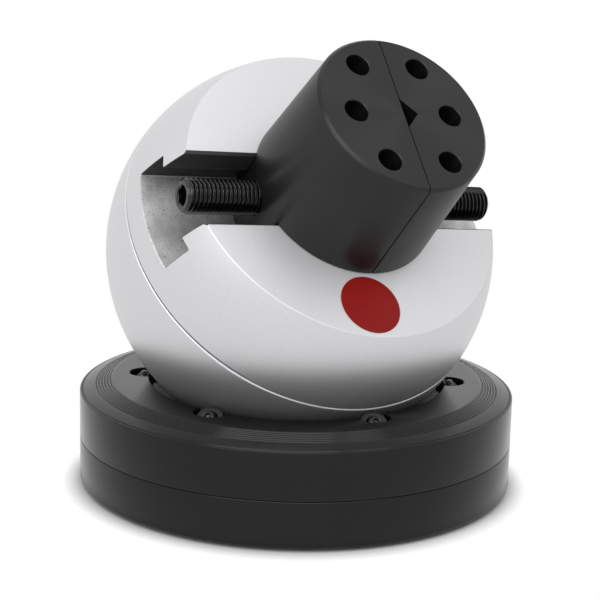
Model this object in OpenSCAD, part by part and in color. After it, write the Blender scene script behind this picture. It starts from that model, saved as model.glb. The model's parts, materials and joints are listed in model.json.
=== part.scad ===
// Ball vise: a heavy turned base carries a two-part steel ball on six small
// bearings. The ball's upper part turns on the lower part, and holds a
// T-slot with two half-round jaws on one left- and right-hand lead screw.
// The origin is at the centre of the base, on the bench. The base axis is Z.
// The ball is drawn upright about its own centre, then leant as it is used.

/* [Pose] */
// Lean of the jaw axis from upright
lean = 46.4; // [0:0.1:65]
// Direction that the jaw axis leans to, about the base axis
lean_dir = -56.5; // [-180:0.5:180]
// Turn of the head about the jaw axis
head_turn = 83; // [-180:0.5:180]

/* [Base] */
// Outer diameter of both base rings
base_d = 150; // [140:1:170]
// Height of the flat ring round the ball
base_h = 36.5; // [34:0.5:38]
// Height of the outer corner, where the bevel starts
rim_h = 33; // [30:0.1:34]
// Diameter at which the bevel meets the flat ring
bevel_d = 127.6; // [122:0.1:134]
// Height of the joint between the two base rings
ring_joint_h = 17; // [16:0.5:18]
// Bevel on the edges that meet at that joint
joint_bevel = 0.4; // [0.2:0.1:1]
// Corner bevel at the rim and at the bottom edge
rim_bevel = 0.6; // [0.4:0.1:2]
// Depth of the turned grooves in the bevel
groove_depth = 0.45; // [0.2:0.05:0.8]
// Width of the turned grooves
groove_w = 0.6; // [0.3:0.05:0.75]
// Spacing of the turned grooves
groove_pitch = 0.95; // [0.8:0.05:1.2]
// Distance of the first groove from the flat ring
groove_start = 0.8; // [0.6:0.1:2]
// Number of turned grooves
groove_count = 6; // [3:1:7]
// Gap between the ball and the bowl
bowl_gap = 2.2; // [1:0.1:3]

/* [Foot ring and base screws] */
// Outer diameter of the rubber foot ring
foot_od = 141; // [130:1:142]
// Inner diameter of the rubber foot ring
foot_id = 125; // [110:1:126]
// Height that the foot ring stands below the base
foot_drop = 1.4; // [0.5:0.1:2.5]
// Depth of the groove that holds the foot ring
foot_seat = 1.6; // [1:0.1:3]
// Number of screws that join the base rings
base_screws_n = 4; // [3:1:6]
// Radius of the circle of those screws
base_screws_r = 50; // [46:0.5:56]
// Angle of the first of those screws about the base axis
base_screws_start = 45; // [0:1:90]
// Thread diameter of those screws
base_screw_d = 6; // [4:1:8]
// Length of their thread in the upper ring
base_screw_grip = 9; // [6:0.5:12]
// Head diameter of those screws
base_head_d = 10; // [8:0.5:12]
// Head height of those screws
base_head_h = 6; // [4:0.5:8]
// Depth of those heads below the base's underside
base_head_sink = 1; // [0.5:0.1:3]
// Width across the flats of their sockets
base_screw_hex = 5; // [3:0.5:5.5]
// Depth of their sockets
base_screw_hex_depth = 3; // [2:0.5:4]

/* [Centre pad] */
// Diameter of the pad that carries the ball's lowest point
pad_d = 28; // [20:1:34]
// Height of its underside above the bench
pad_seat_h = 11.5; // [10:0.5:12.5]
// Diameter of its spigot
pad_spigot_d = 8; // [6:0.5:12]
// Length of its spigot
pad_spigot_len = 6; // [3:0.5:7]

/* [Ball bearings] */
// Outer diameter of a bearing
bearing_od = 10; // [9:0.5:12]
// Width of a bearing
bearing_w = 4; // [3:0.5:5]
// Diameter of its inner ring
bearing_ring_d = 5.4; // [5:0.1:6]
// Thread diameter of its screw
bearing_screw_d = 3; // [2.5:0.5:3]
// Length of that screw in the base
bearing_screw_len = 8; // [5:0.5:10]
// Head diameter of that screw
bearing_head_d = 5.5; // [5:0.1:6.5]
// Diameter of the top of its domed head
bearing_head_top_d = 4; // [3:0.1:4.5]
// Head height of that screw
bearing_head_h = 1.65; // [1.2:0.05:2.5]
// Width across the flats of its socket
bearing_screw_hex = 2; // [1.5:0.1:2.5]
// Depth of its socket
bearing_screw_hex_depth = 1.1; // [0.5:0.1:1.5]
// Extra radius of a bearing's pocket, which is milled straight down
pocket_gap = 0.7; // [0.6:0.1:1.2]
// Angle from straight down to where a bearing meets the ball
contact_angle = 47.5; // [44:0.5:52]
// Angle of the first bearing about the base axis
bearing_start = -1.5; // [-30:0.5:30]
// Thickness of the washer under each bearing
bearing_shim = 0.5; // [0.3:0.1:1]
// Diameter of that washer
bearing_shim_d = 5; // [4.5:0.1:5.4]

/* [Ball] */
// Diameter of the ball
ball_d = 132; // [128:0.5:136]
// Height of the ball's centre above the bench
ball_z = 81.3; // [80:0.1:83]
// Height of the joint between the ball's parts above its centre
seam_h = 6.9; // [4:0.1:8]
// Gap at that joint
seam_gap = 0.6; // [0.3:0.1:1]
// Edge bevel on both sides of that joint
seam_bevel = 0.5; // [0.2:0.1:1]
// Height of the flat top above the ball's centre
flat_h = 35.8; // [33:0.1:38]
// Edge bevel round the flat top
flat_bevel = 0.4; // [0.2:0.1:1]

/* [Pivot and thrust bearing] */
// Inner diameter of the thrust bearing
thrust_id = 35; // [30:1:38]
// Outer diameter of the thrust bearing
thrust_od = 52; // [48:1:60]
// Thickness of each thrust washer
thrust_washer = 1; // [0.8:0.1:1.5]
// Diameter of the needles between them
needle_d = 2; // [1.5:0.1:2.5]
// Distance of the needles' ends from the washers' edges
needle_inset = 1; // [0.9:0.1:1.5]
// Number of needles
needle_n = 20; // [12:1:24]
// Thickness of the cage round the needles
cage_t = 1.2; // [0.8:0.1:1.4]
// Distance of the cage from the washers' edges
cage_inset = 0.5; // [0.3:0.1:0.8]
// Gap between a needle and the cage
cage_gap = 0.1; // [0.05:0.05:0.2]
// Thread diameter of the pivot bolt
pivot_d = 8; // [6:1:8]
// Shoulder diameter of the pivot bolt
pivot_shoulder_d = 10; // [9:0.5:11]
// Head diameter of the pivot bolt
pivot_head_d = 13; // [12:0.5:13.5]
// Head height of the pivot bolt
pivot_head_h = 4; // [3:0.1:4.5]
// Width across the flats of its socket
pivot_hex = 5; // [4:0.5:6]
// Depth of its socket
pivot_hex_depth = 2.4; // [1.5:0.1:3]
// Length of its thread in the lower part
pivot_grip = 28; // [15:1:40]
// Spring washer under its head
pivot_washer_h = 0.8; // [0.5:0.1:1]

/* [T-slot] */
// Width of the slot between the lips
slot_w = 26.5; // [25:0.1:29]
// Width of the slot under the lips
tee_w = 35.8; // [33:0.1:40]
// Height of the slot under the lips
tee_h = 10.8; // [9:0.1:12]
// Height of the slot's floor above the ball's centre
floor_h = 16.2; // [15:0.1:17]
// Bevel along the slot's upper edges
slot_bevel = 0.9; // [0.3:0.1:1.5]

/* [Jaws] */
// Diameter of the closed jaws at the flat
jaw_base_d = 64; // [60:0.5:68]
// Diameter of the closed jaws at their face
jaw_top_d = 58.6; // [56:0.1:60]
// Height of the jaws above the flat
jaw_h = 42.8; // [36:0.1:60]
// Edge bevel round the jaw face
jaw_bevel = 0.9; // [0.3:0.1:1.5]
// Gap between the closed jaws
jaw_gap = 0.3; // [0.2:0.1:0.8]
// Diameter of the pin holes
pin_hole_d = 8; // [6:0.1:8.5]
// Depth of the pin holes
pin_hole_depth = 16; // [10:0.5:20]
// Distance of the middle pin hole from the split
pin_mid = 17.1; // [15:0.1:19]
// Distance of the corner pin holes from the split
pin_corner = 10.9; // [9:0.1:12]
// Distance of the corner pin holes from the screw's plane
pin_side = 18.1; // [16:0.1:19]
// Width of the V notch in the right jaw
notch_w = 11; // [6:0.5:12]
// Depth of the V notch into the right jaw
notch_depth = 5.1; // [3:0.1:5.5]
// Length of the V notch down from the face
notch_len = 24; // [10:1:30]

/* [Lead screw] */
// Thread diameter of the lead screw
screw_d = 11.8; // [10:0.1:12]
// Height of the screw's axis above the ball's centre
screw_h = 30.8; // [29.5:0.1:31.5]
// Overall length of the screw
screw_len = 114; // [106:1:115]
// Bevel on the screw's ends
screw_bevel = 1.2; // [0.5:0.1:2]
// Diameter of the plain neck at its middle
screw_neck_d = 9; // [7.5:0.5:9]
// Width across the flats of its hexagon sockets
hex_af = 6; // [5:0.5:7]
// Depth of its hexagon sockets
hex_depth = 8; // [5:0.5:12]

/* [Screw yoke] */
// Thickness of the yoke along the screw
yoke_w = 8; // [6:0.5:10]
// Length of the yoke across the slot
yoke_len = 26; // [24:0.5:26]
// Distance of the yoke's screws from the lead screw's axis
yoke_screw_y = 9.6; // [9:0.1:10]
// Thread diameter of the yoke's screws
yoke_screw_d = 3; // [2.5:0.5:3]
// Head diameter of the yoke's screws
yoke_head_d = 5.5; // [5:0.1:6]
// Head height of the yoke's screws
yoke_head_h = 3; // [2:0.1:4]
// Width across the flats of their sockets
yoke_screw_hex = 2.5; // [2:0.1:3]
// Depth of their sockets
yoke_screw_hex_depth = 1.8; // [1:0.1:2.5]
// Length of their thread in the slot's floor
yoke_screw_grip = 6.5; // [4:0.5:7.5]

/* [Badge] */
// Diameter of the round badge
badge_d = 20.8; // [16:0.1:21]
// Thickness of the badge
badge_t = 0.4; // [0.3:0.1:0.8]
// Place of the badge along the screw's direction
badge_x = -4; // [-12:0.5:12]
// Place of the badge across the screw's direction
badge_y = -43.6; // [-44:0.1:-42]

/* [Clearances] */
// Radial running clearance of turning shafts
run_clear = 0.05; // [0.02:0.01:0.1]
// Gap between the ball and the bearings and pad
touch_gap = 0.3; // [0.2:0.05:0.5]
// Gap at the flat faces that slide or turn on each other
slide_gap = 0.1; // [0.05:0.05:0.3]
// Gap between a sunk screw head and its recess
head_clear = 0.3; // [0.1:0.05:0.5]

/* [Hidden] */
$fn = 96;

black = "#1b1b1c";
steel = "#c9cacb";
// Overlap of joined shapes, and how far a cut runs past a surface
tiny = 0.01;
over = 1;

// One bearing for each race node
bearing_n = 6;

ball_r = ball_d / 2;
base_r = base_d / 2;
bowl_r = ball_r + bowl_gap;
base_low = foot_drop;
base_head_low = base_low + base_head_sink;
bevel_slope = (base_h - rim_h) / (base_r - bevel_d / 2);

// Distance from the ball's centre to a bearing's axis, measured square to it
bearing_reach = ball_r + touch_gap + bearing_od / 2;
pocket_r = bearing_od / 2 + pocket_gap;
pocket_floor = -bearing_w / 2 - bearing_shim;

// The thrust bearing fills the gap at the seam and a recess on either side
thrust_h = 2 * thrust_washer + needle_d + slide_gap;
seam_low = seam_h - seam_gap / 2;
seam_high = seam_h + seam_gap / 2;
thrust_low = seam_low - thrust_h / 2;
thrust_high = thrust_low + thrust_h;
needle_mid_r = (thrust_od + thrust_id) / 4;
needle_len = (thrust_od - thrust_id) / 2 - 2 * needle_inset;
needle_h = thrust_low + thrust_washer + needle_d / 2;

// The pivot bolt's head is sunk under the slot's floor
pivot_head_low = floor_h - head_clear - pivot_head_h;
pivot_web_top = pivot_head_low - pivot_washer_h - slide_gap;

slot_len = 2 * ball_r;
jaw_low = flat_h + slide_gap;
jaw_face = flat_h + jaw_h;
foot_start = yoke_w / 2 + head_clear;
yoke_top = flat_h - slide_gap;

// Leans the ball's upright pieces about the ball's centre
module in_ball() {
    translate([0, 0, ball_z])
        rotate([0, 0, lean_dir])
            rotate([0, lean, 0])
                rotate([0, 0, head_turn])
                    children();
}

// Carries a child from a bearing's own frame, with its axis along Z
module at_bearing(i) {
    rotate([0, 0, bearing_start + i * 360 / bearing_n])
        translate([0, 0, ball_z])
            rotate([0, 180 - contact_angle, 0])
                translate([0, 0, bearing_reach])
                    rotate([0, -90, 0])
                        children();
}

// A hexagon socket, sunk from its mouth at z = 0
module hex_socket(flats, depth) {
    translate([0, 0, -depth])
        cylinder(r = flats / 2 / cos(30), h = depth + over, $fn = 6);
}

module ring(outer_d, inner_d, height) {
    difference() {
        cylinder(d = outer_d, h = height);
        translate([0, 0, -tiny])
            cylinder(d = inner_d, h = height + 2 * tiny);
    }
}

// ---------------------------------------------------------------- base

// Height of the bevelled top at a radius
function bevel_top(r) = rim_h + (base_r - r) * bevel_slope;

module base_grooves() {
    rotate_extrude()
        for (i = [0 : groove_count - 1]) {
            r = bevel_d / 2 + groove_start + i * groove_pitch;
            polygon([
                [r - groove_w / 2, bevel_top(r - groove_w / 2) + tiny],
                [r, bevel_top(r) - groove_depth],
                [r + groove_w / 2, bevel_top(r + groove_w / 2) + tiny]
            ]);
        }
}

// Turned so that the sphere's seam lies midway between two bearings
module bowl() {
    translate([0, 0, ball_z])
        rotate([0, 0, bearing_start + 180 / bearing_n])
            sphere(r = bowl_r);
}

module base_screw_places() {
    for (i = [0 : base_screws_n - 1])
        rotate([0, 0, base_screws_start + i * 360 / base_screws_n])
            translate([base_screws_r, 0, 0])
                children();
}

// Cut straight down from the top, with a floor square to the bearing's axis
module bearing_pocket(i) {
    intersection() {
        rotate([0, 0, bearing_start + i * 360 / bearing_n])
            translate([bearing_reach * sin(contact_angle), 0, 0])
                cylinder(r = pocket_r, h = base_h + over);
        at_bearing(i)
            translate([0, 0, pocket_floor])
                cylinder(r = 2 * pocket_r, h = 3 * pocket_r);
    }
    at_bearing(i)
        translate([0, 0, pocket_floor - bearing_screw_len - head_clear])
            cylinder(d = bearing_screw_d, h = bearing_screw_len + bearing_w);
}

module upper_base_ring() {
    color(black)
    difference() {
        rotate_extrude()
            polygon([
                [0, ring_joint_h],
                [base_r - joint_bevel, ring_joint_h],
                [base_r, ring_joint_h + joint_bevel],
                [base_r, rim_h - rim_bevel],
                [base_r - rim_bevel, bevel_top(base_r - rim_bevel)],
                [bevel_d / 2, base_h],
                [0, base_h]
            ]);
        bowl();
        base_grooves();
        for (i = [0 : bearing_n - 1])
            bearing_pocket(i);
        base_screw_places()
            translate([0, 0, ring_joint_h - over])
                cylinder(d = base_screw_d, h = base_screw_grip + head_clear + over);
    }
}

module lower_base_ring() {
    color(black)
    difference() {
        rotate_extrude()
            polygon([
                [0, base_low],
                [base_r - rim_bevel, base_low],
                [base_r, base_low + rim_bevel],
                [base_r, ring_joint_h - joint_bevel],
                [base_r - joint_bevel, ring_joint_h],
                [0, ring_joint_h]
            ]);
        bowl();
        translate([0, 0, pad_seat_h])
            cylinder(d = pad_d + 2 * touch_gap, h = ring_joint_h);
        translate([0, 0, pad_seat_h - pad_spigot_len - head_clear])
            cylinder(d = pad_spigot_d + 2 * run_clear, h = ring_joint_h);
        translate([0, 0, base_low - over])
            ring(foot_od, foot_id, foot_seat + over);
        base_screw_places() {
            cylinder(d = base_screw_d + 2 * head_clear, h = ring_joint_h + over);
            cylinder(d = base_head_d + 2 * head_clear, h = base_head_low + base_head_h);
        }
    }
}

module foot_ring() {
    color("#222222")
        ring(foot_od, foot_id, foot_drop + foot_seat);
}

module base_screws() {
    color("#2c2c2e")
    base_screw_places()
        difference() {
            union() {
                translate([0, 0, base_head_low])
                    cylinder(d = base_head_d, h = base_head_h);
                translate([0, 0, base_head_low])
                    cylinder(d = base_screw_d, h = ring_joint_h + base_screw_grip - base_head_low);
            }
            translate([0, 0, base_head_low])
                mirror([0, 0, 1])
                    hex_socket(base_screw_hex, base_screw_hex_depth);
        }
}

module centre_pad() {
    color("#e8e2d0")
    difference() {
        union() {
            translate([0, 0, pad_seat_h + slide_gap])
                cylinder(d = pad_d, h = ring_joint_h - pad_seat_h);
            translate([0, 0, pad_seat_h - pad_spigot_len])
                cylinder(d = pad_spigot_d, h = pad_spigot_len + over);
        }
        translate([0, 0, ball_z])
            sphere(r = ball_r + touch_gap);
    }
}

// ---------------------------------------------------------------- bearings

module bearing_race(i) {
    color("#3a3b3d")
    at_bearing(i)
        translate([0, 0, -bearing_w / 2])
            ring(bearing_od, bearing_ring_d + 2 * run_clear, bearing_w);
}

module bearing_inner_rings() {
    color("#8a8c90")
    for (i = [0 : bearing_n - 1])
        at_bearing(i)
            translate([0, 0, -bearing_w / 2])
                ring(bearing_ring_d, bearing_screw_d, bearing_w);
}

module bearing_shims() {
    color("#8a8c90")
    for (i = [0 : bearing_n - 1])
        at_bearing(i)
            translate([0, 0, pocket_floor])
                ring(bearing_shim_d, bearing_screw_d, bearing_shim);
}

module bearing_screws() {
    color("#1f1f20")
    for (i = [0 : bearing_n - 1])
        at_bearing(i)
            difference() {
                union() {
                    translate([0, 0, pocket_floor - bearing_screw_len])
                        cylinder(d = bearing_screw_d, h = bearing_screw_len - pocket_floor + bearing_w / 2);
                    translate([0, 0, bearing_w / 2])
                        cylinder(d1 = bearing_head_d, d2 = bearing_head_top_d, h = bearing_head_h);
                }
                translate([0, 0, bearing_w / 2 + bearing_head_h])
                    hex_socket(bearing_screw_hex, bearing_screw_hex_depth);
            }
}

// ---------------------------------------------------------------- lower ball

// A ring of triangular section that bevels a sphere's edge at a height
module edge_bevel(height, size, up) {
    edge_r = sqrt(ball_r * ball_r - height * height);
    rotate_extrude()
        polygon([
            [edge_r - size, height],
            [edge_r + size, height],
            [edge_r + size, height - 2 * up * size]
        ]);
}

module lower_ball() {
    color(steel)
    in_ball()
        difference() {
            intersection() {
                sphere(r = ball_r);
                translate([0, 0, -ball_r])
                    cylinder(r = ball_r, h = ball_r + seam_low);
            }
            edge_bevel(seam_low, seam_bevel, 1);
            translate([0, 0, thrust_low])
                ring(thrust_od + head_clear, thrust_id - head_clear, thrust_h);
            translate([0, 0, seam_low - pivot_grip - head_clear])
                cylinder(d = pivot_d, h = ball_r);
        }
}

module thrust_washer_lower() {
    color("#b9babd")
    in_ball()
        translate([0, 0, thrust_low])
            ring(thrust_od, thrust_id, thrust_washer);
}

module needle_places() {
    for (i = [0 : needle_n - 1])
        rotate([0, 0, i * 360 / needle_n])
            children();
}

module needle_cage() {
    color("#a58b4f")
    in_ball()
        difference() {
            translate([0, 0, needle_h - cage_t / 2])
                ring(thrust_od - 2 * cage_inset, thrust_id + 2 * cage_inset, cage_t);
            needle_places()
                translate([needle_mid_r, 0, needle_h])
                    cube([needle_len + 2 * cage_gap, needle_d + 2 * cage_gap, needle_d], center = true);
        }
}

module needles() {
    color("#d8d9db")
    in_ball()
        needle_places()
            translate([needle_mid_r, 0, needle_h])
                rotate([0, 90, 0])
                    cylinder(d = needle_d, h = needle_len, center = true, $fn = 24);
}

module pivot_bolt() {
    color("#6d6e72")
    in_ball()
        difference() {
            union() {
                translate([0, 0, pivot_head_low])
                    cylinder(d = pivot_head_d, h = pivot_head_h);
                translate([0, 0, seam_low])
                    cylinder(d = pivot_shoulder_d, h = pivot_head_low - seam_low);
                translate([0, 0, seam_low - pivot_grip])
                    cylinder(d = pivot_d, h = pivot_grip + tiny);
            }
            translate([0, 0, floor_h - head_clear])
                hex_socket(pivot_hex, pivot_hex_depth);
        }
}

module pivot_washer() {
    color("#b9babd")
    in_ball()
        translate([0, 0, pivot_head_low - pivot_washer_h])
            ring(pivot_head_d, pivot_shoulder_d + 2 * run_clear, pivot_washer_h);
}

// ---------------------------------------------------------------- head

module t_slot() {
    translate([-slot_len / 2, -tee_w / 2, floor_h])
        cube([slot_len, tee_w, tee_h]);
    translate([-slot_len / 2, -slot_w / 2, floor_h])
        cube([slot_len, slot_w, flat_h]);
    for (side = [-1, 1])
        translate([0, side * slot_w / 2, flat_h])
            rotate([45, 0, 0])
                cube([slot_len, slot_bevel * sqrt(2), slot_bevel * sqrt(2)], center = true);
}

module yoke_screw_places() {
    for (side = [-1, 1])
        translate([0, side * yoke_screw_y, 0])
            children();
}

module upper_ball() {
    color(steel)
    in_ball()
        difference() {
            intersection() {
                sphere(r = ball_r);
                translate([0, 0, seam_high])
                    cylinder(r = ball_r, h = flat_h - seam_high);
            }
            edge_bevel(seam_high, seam_bevel, -1);
            edge_bevel(flat_h, flat_bevel, 1);
            t_slot();
            translate([0, 0, seam_low])
                ring(thrust_od + head_clear, thrust_id - head_clear, thrust_high - seam_low);
            cylinder(d = pivot_shoulder_d + 2 * run_clear, h = floor_h);
            translate([0, 0, pivot_web_top])
                cylinder(d = pivot_head_d + 2 * head_clear, h = floor_h);
            yoke_screw_places()
                translate([0, 0, floor_h - yoke_screw_grip - head_clear])
                    cylinder(d = yoke_screw_d, h = floor_h);
        }
}

module thrust_washer_upper() {
    color("#b9babd")
    in_ball()
        translate([0, 0, thrust_high - thrust_washer])
            ring(thrust_od, thrust_id, thrust_washer);
}

// Holds the lead screw's neck in a fork that is open at the top
module screw_yoke() {
    color("#45464a")
    in_ball()
        difference() {
            translate([-yoke_w / 2, -yoke_len / 2, floor_h])
                cube([yoke_w, yoke_len, yoke_top - floor_h]);
            translate([-yoke_w, 0, screw_h])
                rotate([0, 90, 0])
                    cylinder(d = screw_neck_d + 2 * run_clear, h = 2 * yoke_w);
            translate([-yoke_w, -screw_neck_d / 2 - run_clear, screw_h])
                cube([2 * yoke_w, screw_neck_d + 2 * run_clear, flat_h]);
            yoke_screw_places() {
                cylinder(d = yoke_screw_d + head_clear, h = flat_h);
                translate([0, 0, yoke_top - yoke_head_h - head_clear])
                    cylinder(d = yoke_head_d + head_clear, h = flat_h);
            }
        }
}

module yoke_screws() {
    color("#2c2c2e")
    in_ball()
        yoke_screw_places()
            difference() {
                union() {
                    translate([0, 0, floor_h - yoke_screw_grip])
                        cylinder(d = yoke_screw_d, h = yoke_top - floor_h + yoke_screw_grip - yoke_head_h);
                    translate([0, 0, yoke_top - yoke_head_h - head_clear])
                        cylinder(d = yoke_head_d, h = yoke_head_h);
                }
                translate([0, 0, yoke_top - head_clear])
                    hex_socket(yoke_screw_hex, yoke_screw_hex_depth);
            }
}

module badge() {
    color("#8c1a1a")
    in_ball()
        translate([badge_x, badge_y, flat_h])
            cylinder(d = badge_d, h = badge_t);
}

// ---------------------------------------------------------------- screw and jaws

module lead_screw() {
    half_neck = yoke_w / 2 + slide_gap;
    color("#19191a")
    in_ball()
        translate([0, 0, screw_h])
            difference() {
                union() {
                    rotate([0, 90, 0])
                        cylinder(d = screw_neck_d, h = 2 * half_neck + tiny, center = true);
                    for (side = [0, 180])
                        rotate([0, 0, side])
                            translate([half_neck, 0, 0])
                                rotate([0, 90, 0]) {
                                    cylinder(d = screw_d, h = screw_len / 2 - half_neck - screw_bevel);
                                    translate([0, 0, screw_len / 2 - half_neck - screw_bevel])
                                        cylinder(d1 = screw_d, d2 = screw_d - 2 * screw_bevel, h = screw_bevel);
                                }
                }
                for (side = [0, 180])
                    rotate([0, 0, side])
                        translate([screw_len / 2, 0, 0])
                            rotate([0, 90, 0])
                                hex_socket(hex_af, hex_depth);
            }
}

// One half of the turned jaw bar: side is 1 for right and -1 for left
module jaw(side) {
    jaw_taper = (jaw_base_d - jaw_top_d) / 2 / jaw_h;
    bevel_r = jaw_top_d / 2 + jaw_taper * jaw_bevel;
    difference() {
        union() {
            translate([0, 0, jaw_low])
                cylinder(r1 = jaw_base_d / 2, r2 = bevel_r, h = jaw_face - jaw_bevel - jaw_low);
            translate([0, 0, jaw_face - jaw_bevel])
                cylinder(r1 = bevel_r, r2 = bevel_r - jaw_bevel, h = jaw_bevel);
            intersection() {
                translate([0, 0, floor_h])
                    cylinder(d = jaw_base_d, h = jaw_low - floor_h + tiny);
                union() {
                    translate([-jaw_base_d, -slot_w / 2 + slide_gap, floor_h + slide_gap])
                        cube([2 * jaw_base_d, slot_w - 2 * slide_gap, flat_h]);
                    translate([-jaw_base_d, -tee_w / 2 + slide_gap, floor_h + slide_gap])
                        cube([2 * jaw_base_d, tee_w - 2 * slide_gap, tee_h - 2 * slide_gap]);
                }
            }
        }
        // The other half of the bar
        translate([side > 0 ? -jaw_base_d + jaw_gap / 2 : -jaw_gap / 2, -jaw_base_d, 0])
            cube([jaw_base_d, 2 * jaw_base_d, 2 * jaw_face]);
        // Room for the yoke under the flat
        translate([-foot_start, -tee_w, 0])
            cube([2 * foot_start, 2 * tee_w, jaw_low]);
        // Threaded bore
        translate([-jaw_base_d, 0, screw_h])
            rotate([0, 90, 0])
                cylinder(d = screw_d + 2 * run_clear, h = 2 * jaw_base_d);
        // Pin holes
        translate([side * pin_mid, 0, jaw_face - pin_hole_depth])
            cylinder(d = pin_hole_d, h = pin_hole_depth + over);
        for (across = [-1, 1])
            translate([side * pin_corner, across * pin_side, jaw_face - pin_hole_depth])
                cylinder(d = pin_hole_d, h = pin_hole_depth + over);
    }
}

module left_jaw() {
    color(black)
    in_ball()
        jaw(-1);
}

module right_jaw() {
    color(black)
    in_ball()
        difference() {
            jaw(1);
            translate([0, 0, jaw_face - notch_len])
                linear_extrude(notch_len + over)
                    polygon([
                        [0, -notch_w / 2],
                        [notch_depth, 0],
                        [0, notch_w / 2]
                    ]);
        }
}

upper_base_ring();
lower_base_ring();
foot_ring();
base_screws();
centre_pad();
bearing_race(0);  // bearing_race_1
bearing_race(1);  // bearing_race_2
bearing_race(2);  // bearing_race_3
bearing_race(3);  // bearing_race_4
bearing_race(4);  // bearing_race_5
bearing_race(5);  // bearing_race_6
bearing_inner_rings();
bearing_shims();
bearing_screws();
lower_ball();
thrust_washer_lower();
needle_cage();
needles();
pivot_bolt();
pivot_washer();
upper_ball();
thrust_washer_upper();
screw_yoke();
yoke_screws();
badge();
lead_screw();
left_jaw();
right_jaw();
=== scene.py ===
"""A ball vise on a pale bench, finished piece by piece around its own solids."""

import json
import math

import bmesh
import bpy
import numpy as np
from mathutils import Matrix, Vector


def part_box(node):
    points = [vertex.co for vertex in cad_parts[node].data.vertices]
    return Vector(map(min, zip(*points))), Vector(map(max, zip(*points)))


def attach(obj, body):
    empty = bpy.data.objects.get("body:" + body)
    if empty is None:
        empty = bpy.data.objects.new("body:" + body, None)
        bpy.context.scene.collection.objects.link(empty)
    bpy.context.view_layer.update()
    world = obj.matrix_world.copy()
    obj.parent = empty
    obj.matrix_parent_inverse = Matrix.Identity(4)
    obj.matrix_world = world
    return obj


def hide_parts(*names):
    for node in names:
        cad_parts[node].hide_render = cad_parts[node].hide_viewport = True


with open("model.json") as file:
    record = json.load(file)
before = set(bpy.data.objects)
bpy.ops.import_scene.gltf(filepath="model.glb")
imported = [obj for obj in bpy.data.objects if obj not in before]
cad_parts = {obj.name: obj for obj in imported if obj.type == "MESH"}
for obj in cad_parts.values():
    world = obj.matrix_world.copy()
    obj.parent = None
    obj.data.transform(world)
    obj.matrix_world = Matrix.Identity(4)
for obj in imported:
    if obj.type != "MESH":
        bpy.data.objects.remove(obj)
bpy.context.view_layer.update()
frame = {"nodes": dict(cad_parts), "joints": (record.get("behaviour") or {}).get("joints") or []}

# ---------------------------------------------------------------- camera
# The photograph was taken with a long lens, a little over half a metre away and just above
# the vise. The frame is square, 600 by 600.
camera_place = (0.0, -0.59894, 0.20491)
camera_down = math.radians(13.2427)
camera_turn = math.radians(-0.0554)
camera_roll = math.radians(1.3913)
camera_lens = 106.935


def new_object(name, data):
    """An object for a camera, a lamp or a mesh, linked into the scene."""
    made = bpy.data.objects.new(name, data)
    bpy.context.scene.collection.objects.link(made)
    return made


camera = new_object("camera", bpy.data.cameras.new("camera"))
camera.data.lens = camera_lens
camera.data.sensor_width = 36.0
camera.matrix_world = (
    Matrix.Translation(camera_place)
    @ Matrix.Rotation(camera_turn, 4, "Z")
    @ Matrix.Rotation(math.pi / 2 - camera_down, 4, "X")
    @ Matrix.Rotation(camera_roll, 4, "Z")
)
bpy.context.scene.camera = camera

# ---------------------------------------------------------------- studio
# A white table top that runs into a white backdrop, inside a white tent. Two small soft boxes
# hang over the vise, and a wide one stands above the photographer.
floor_size = 12.0
floor_near = 0.0755
floor_far = 0.081
floor_white = "#f7f7f7"
world_level = 0.40
box_aim = Vector((0.0, 0.0, 0.08))
boxes = [
    # name, place, width, height, watts
    ("overhead", (0.14, 0.05, 1.10), 0.35, 0.35, 0.8),
    ("high_right", (0.50, -0.48, 0.83), 0.35, 0.35, 0.9),
    ("front", (-0.20, -0.92, 0.82), 1.3, 0.9, 8.8),
]


def colour(code):
    """An sRGB hex colour as linear red, green and blue, with full opacity."""
    part = np.array([int(code[i : i + 2], 16) for i in (1, 3, 5)]) / 255
    linear = np.where(part <= 0.04045, part / 12.92, ((part + 0.055) / 1.055) ** 2.4)
    return (*linear.tolist(), 1.0)


def add(tree, kind, inputs=None, output=None, **settings):
    """Add one node, and hand back the named output, or else the node. Inputs are values, or
    the outputs that they are linked from."""
    node = tree.nodes.new("ShaderNode" + kind)
    for name, value in settings.items():
        setattr(node, name, value)
    for name, value in (inputs or {}).items():
        if isinstance(value, bpy.types.NodeSocket):
            tree.links.new(value, node.inputs[name])
        else:
            node.inputs[name].default_value = value
    return node if output is None else node.outputs[output]


def new_material(name):
    """An empty node material, with its node tree and its Object coordinates."""
    material = bpy.data.materials.new(name)
    material.use_nodes = True
    tree = material.node_tree
    tree.nodes.clear()
    return material, tree, add(tree, "TexCoord", output="Object")


def shade(material, kind, inputs):
    """Add the material's shader with its inputs, and send it to the surface."""
    shader = add(material.node_tree, kind, inputs, 0)
    add(material.node_tree, "OutputMaterial", {"Surface": shader})
    return material


def plain_rays(tree):
    """1 for the rays that should meet plain white: the camera's own, and those that the vise
    mirrors or lets through. 0 for the rays that light it."""
    rays = add(tree, "LightPath").outputs
    seen = rays["Is Camera Ray"]
    for other in ("Is Glossy Ray", "Is Transmission Ray"):
        seen = add(tree, "Math", {0: seen, 1: rays[other]}, "Value", operation="MAXIMUM")
    return seen


# White laminate. Near the vise it takes the shadow, and further out the camera sees plain
# white, as in the photograph.
table_top, tree, place = new_material("white_table_top")
distance = add(tree, "VectorMath", {0: place}, "Value", operation="LENGTH")
far = add(
    tree, "MapRange", {"Value": distance, "From Min": floor_near, "From Max": floor_far},
    "Result",
)
plain = add(tree, "Math", {0: far, 1: plain_rays(tree)}, "Value", operation="MULTIPLY")
lit = add(tree, "BsdfDiffuse", {"Color": colour(floor_white)}, 0)
white = add(tree, "Emission", {"Color": (1.0, 1.0, 1.0, 1.0), "Strength": 1.0}, 0)
shade(table_top, "MixShader", {0: plain, 1: lit, 2: white})

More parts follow.
